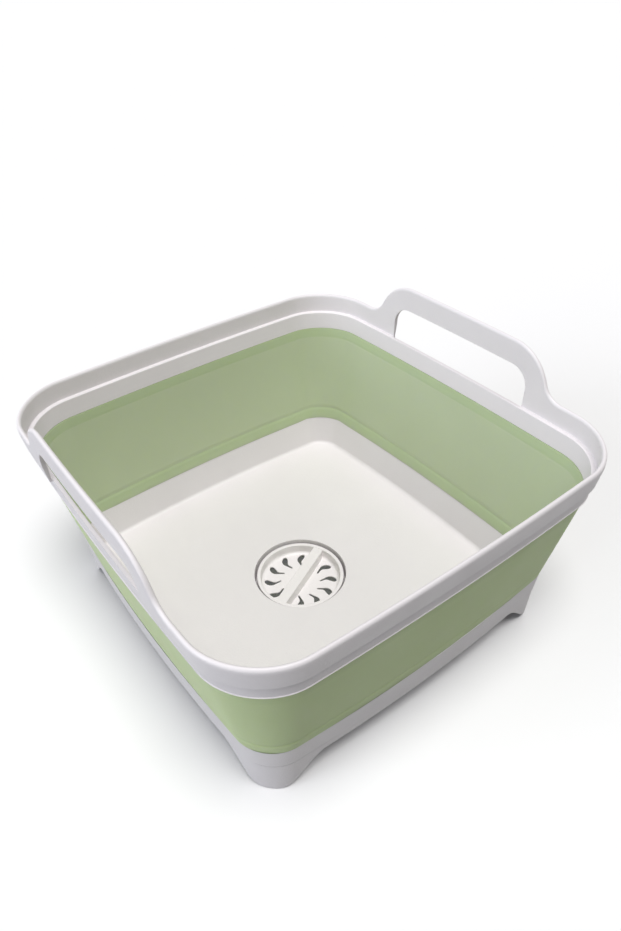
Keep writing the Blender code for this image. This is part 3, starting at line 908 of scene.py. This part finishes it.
def strainer_bar():
    """The finger bar: straight on top, its foot swelling towards the middle."""
    low = PLATE_MIDDLE - BAR_SINK
    high = RING_TOP - BAR_DROP
    clear_choice()
    bpy.ops.mesh.primitive_cube_add(size=1)
    bar = rename(bpy.context.object, "strainer_bar")
    bar.scale = (2 * BAR_HALF_LENGTH, 2 * BAR_HALF_WIDTH, high - low)
    settle()
    edit(bar)
    choose(bar, "EDGE", lambda edge: reach(bar, edge).x > BAR_HALF_LENGTH)
    bpy.ops.mesh.subdivide(number_cuts=BAR_CUTS)
    leave()
    for vertex in bar.data.vertices:
        if vertex.co.z < 0:
            swell = BAR_FOOT_FLARE * (1 - (vertex.co.x / BAR_HALF_LENGTH) ** 4)
            vertex.co.y += math.copysign(swell, vertex.co.y)
    activate(bar)
    bar.location = (*DRAIN, (high + low) / 2)
    bar.rotation_euler = (0, 0, BAR_ANGLE)
    settle()
    finish_with(bar, "BEVEL", width=BAR_ROUND, segments=3,
                limit_method="ANGLE", angle_limit=math.radians(60))
    return bar


def model_strainer(finish):
    """Turn the strainer's ring, plate and pin, cut its slots and set its bar across."""
    strainer = turn_profile("strainer", STRAINER_PROFILE)
    combine(strainer, strainer_cutter(), "DIFFERENCE")
    combine(strainer, strainer_bar(), "UNION")
    smooth(strainer, degrees=40)
    finish_with(strainer, "WEIGHTED_NORMAL", keep_sharp=True)
    give(strainer, finish)
    return strainer


def model_stopper(finish):
    """Turn the rubber disc that sits on the strainer's pin. Its wide dark flange lies under the
    strainer's slots as painted shade.
    """
    stopper = turn_profile("stopper", STOPPER_PROFILE)
    smooth(stopper, degrees=35)
    give(stopper, finish)
    return stopper


def set_camera():
    """The photograph's own viewing place, direction and lens."""
    camera = bpy.data.objects.new("camera", bpy.data.cameras.new("camera"))
    bpy.context.scene.collection.objects.link(camera)
    level = math.cos(CAMERA_PITCH)
    ahead = Vector((level * math.cos(CAMERA_YAW), level * math.sin(CAMERA_YAW),
                    -math.sin(CAMERA_PITCH)))
    right = Vector((math.sin(CAMERA_YAW), -math.cos(CAMERA_YAW), 0))
    down = ahead.cross(right)
    rolled_right = right * math.cos(CAMERA_ROLL) + down * math.sin(CAMERA_ROLL)
    rolled_down = down * math.cos(CAMERA_ROLL) - right * math.sin(CAMERA_ROLL)
    turn = Matrix((rolled_right, -rolled_down, -ahead)).transposed().to_4x4()
    camera.matrix_world = Matrix.Translation(CAMERA_PLACE) @ turn
    camera.data.sensor_fit = "VERTICAL"
    camera.data.sensor_height = SENSOR
    camera.data.sensor_width = SENSOR
    camera.data.lens = LENS_PIXELS / PICTURE_HEIGHT * SENSOR
    camera.data.shift_x = (PICTURE_WIDTH / 2 - MIDDLE_COLUMN) / PICTURE_HEIGHT
    camera.data.clip_start = 0.01
    bpy.context.scene.camera = camera


def seen_directly(nodes, links):
    """1 for a look from the camera, a reflection or through glass, and 0 for light."""
    path = nodes.new("ShaderNodeLightPath")
    first = nodes.new("ShaderNodeMath")
    first.operation = "ADD"
    links.new(path.outputs["Is Camera Ray"], first.inputs[0])
    links.new(path.outputs["Is Glossy Ray"], first.inputs[1])
    both = nodes.new("ShaderNodeMath")
    both.operation = "ADD"
    both.use_clamp = True
    links.new(first.outputs["Value"], both.inputs[0])
    links.new(path.outputs["Is Transmission Ray"], both.inputs[1])
    return both.outputs["Value"]


def soft_sun(name, towards, strength, spread_degrees, colour):
    """A wide, even light from a direction."""
    sun = bpy.data.objects.new(name, bpy.data.lights.new(name, "SUN"))
    sun.data.energy = strength
    sun.data.angle = math.radians(spread_degrees)
    sun.data.color = colour
    sun.rotation_euler = Vector(towards).to_track_quat("Z", "Y").to_euler()
    bpy.context.scene.collection.objects.link(sun)


def light_studio():
    """A faint fill that looks white, a wide light from above and one from the left."""
    world = bpy.data.worlds.new("studio")
    bpy.context.scene.world = world
    world.use_nodes = True
    nodes, links = world.node_tree.nodes, world.node_tree.links
    fill = nodes["Background"]
    fill.inputs["Color"].default_value = (0.98, 0.985, 1.0, 1)
    fill.inputs["Strength"].default_value = 0.2
    white = nodes.new("ShaderNodeBackground")
    white.inputs["Color"].default_value = (1, 1, 1, 1)
    white.inputs["Strength"].default_value = 1.0
    mix = nodes.new("ShaderNodeMixShader")
    links.new(seen_directly(nodes, links), mix.inputs["Fac"])
    links.new(fill.outputs["Background"], mix.inputs[1])
    links.new(white.outputs["Background"], mix.inputs[2])
    links.new(mix.outputs["Shader"], nodes["World Output"].inputs["Surface"])
    soft_sun("top_light", towards=(-0.05, -0.22, 0.975), strength=2.25,
             spread_degrees=32, colour=(1.0, 0.99, 0.985))
    soft_sun("side_light", towards=(-0.95, 0.14, 0.27), strength=1.6,
             spread_degrees=40, colour=(0.86, 0.90, 1.0))


def lay_floor():
    """A floor that looks white, takes the basin's shadow and throws little light back."""
    clear_choice()
    bpy.ops.mesh.primitive_plane_add(size=PAPER_SIZE, location=(0, 0, -PAPER_DROP))
    floor = rename(bpy.context.object, "studio_floor")
    settle()
    finish, nodes, links, shader = material("floor_paper", (0.2, 0.2, 0.2), 0.9)
    shader.inputs["Specular IOR Level"].default_value = 0.0
    white = nodes.new("ShaderNodeBsdfDiffuse")
    white.inputs["Color"].default_value = (0.99, 0.99, 0.99, 1)
    mix = nodes.new("ShaderNodeMixShader")
    links.new(seen_directly(nodes, links), mix.inputs["Fac"])
    links.new(shader.outputs["BSDF"], mix.inputs[1])
    links.new(white.outputs["BSDF"], mix.inputs[2])
    links.new(mix.outputs["Shader"], nodes["Material Output"].inputs["Surface"])
    give(floor, finish)


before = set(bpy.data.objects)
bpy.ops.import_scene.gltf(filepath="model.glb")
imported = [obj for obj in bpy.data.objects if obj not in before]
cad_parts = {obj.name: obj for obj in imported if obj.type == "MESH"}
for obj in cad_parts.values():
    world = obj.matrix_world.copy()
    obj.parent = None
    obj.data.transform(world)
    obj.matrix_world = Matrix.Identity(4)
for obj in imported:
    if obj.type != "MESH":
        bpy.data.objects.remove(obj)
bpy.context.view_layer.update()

white_rim = moulded_white("rim_white", (0.86, 0.825, 0.835), (0.84, 0.805, 0.815), 0.42)
white_tray = moulded_white("tray_white", (0.81, 0.782, 0.787), (0.79, 0.762, 0.767), 0.42)
white_strainer = moulded_white("strainer_white", (0.87, 0.84, 0.84), (0.85, 0.82, 0.82), 0.38)
green = soft_rubber("sage_wall", (0.54, 0.615, 0.415), (0.52, 0.595, 0.397), 0.52)
green_edge = soft_rubber("sage_wall_edge", (0.51, 0.607, 0.376), (0.49, 0.587, 0.358), 0.52)
# The wall's outside gets a lighter, livelier green than its inside: painted light, standing in for
# light the lamps don't bring to the outward faces.
green_outside_painted_light = soft_rubber("sage_wall_outside_painted_light", (0.62, 0.74, 0.40), (0.60, 0.72, 0.382), 0.52)
# The stopper's dark grey is its own rubber colour, and where it shows through the slots it is also
# painted shade.
grey_rubber_and_slot_shade = soft_rubber("stopper_rubber", (0.13, 0.135, 0.13), (0.115, 0.12, 0.115), 0.7)

rim = model_rim(white_rim)
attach(rim, "rim")
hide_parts("rim_frame")

tray = model_tray(white_tray)
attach(tray, "base")
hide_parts("base_tray")

wall = model_wall(green, green_edge, green_outside_painted_light)
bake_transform(wall)
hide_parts("bellows_wall")

strainer = model_strainer(white_strainer)
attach(strainer, "strainer")
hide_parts("strainer_plug")

stopper = model_stopper(grey_rubber_and_slot_shade)
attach(stopper, "stopper")
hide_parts("rubber_stopper")

set_camera()
light_studio()
lay_floor()
bpy.context.scene.view_settings.view_transform = "Standard"
